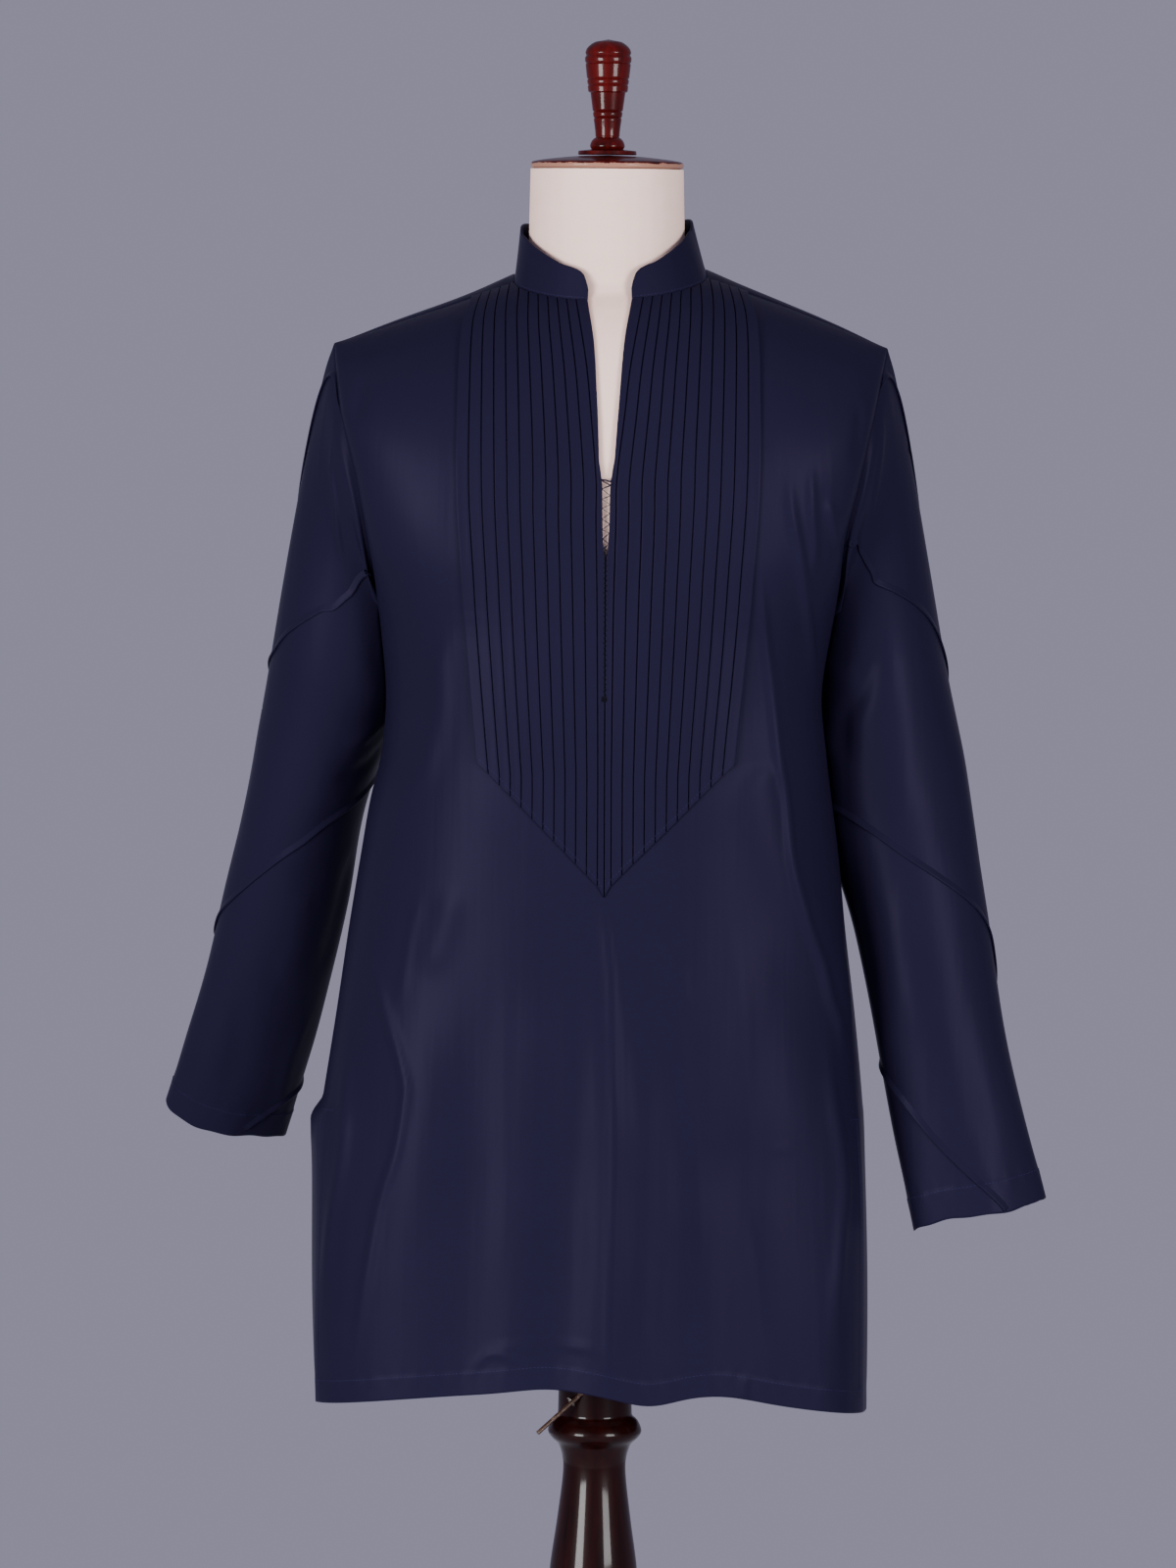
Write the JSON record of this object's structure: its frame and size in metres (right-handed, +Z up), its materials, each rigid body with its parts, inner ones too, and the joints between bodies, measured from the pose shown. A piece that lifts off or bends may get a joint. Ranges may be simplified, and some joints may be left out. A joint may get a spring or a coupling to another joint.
{
  "type": "short kurta on a limbless dress form",
  "caption": "Short kurta with long sleeves, standing collar and pintucked bib, worn on a limbless canvas dress form that stands on a turned wooden column and round base.",
  "frame": {"origin": "on the floor under the column's axis, at the centre of the base's underside", "axes": "+Z up; -Y is the garment's front; +X is to the right as seen from the front"},
  "size_m": [0.7135, 0.3967, 1.644],
  "materials": {
    "navy_crepe": "matt crepe weave with a faint sheen",
    "form_canvas": "plain cream canvas",
    "lacquered_wood": "dark red-brown gloss lacquer",
    "brown_pin": "dull brown"
  },
  "bodies": {
    "root": {"front_panel": "navy_crepe", "back_panel": "navy_crepe", "sleeve_left": "navy_crepe", "sleeve_left_tuck_1": "navy_crepe", "sleeve_left_tuck_2": "navy_crepe", "sleeve_left_tuck_3": "navy_crepe", "sleeve_left_tuck_4": "navy_crepe", "sleeve_right": "navy_crepe", "sleeve_right_tuck_1": "navy_crepe", "sleeve_right_tuck_2": "navy_crepe", "sleeve_right_tuck_3": "navy_crepe", "sleeve_right_tuck_4": "navy_crepe", "collar_band": "navy_crepe", "bib_left": "navy_crepe", "bib_right": "navy_crepe", "form_torso": "form_canvas", "neck_cap": "lacquered_wood", "finial": "lacquered_wood", "stand_column": "lacquered_wood", "stand_base": "lacquered_wood", "clamp_pin": "brown_pin"}
  },
  "joints": []
}
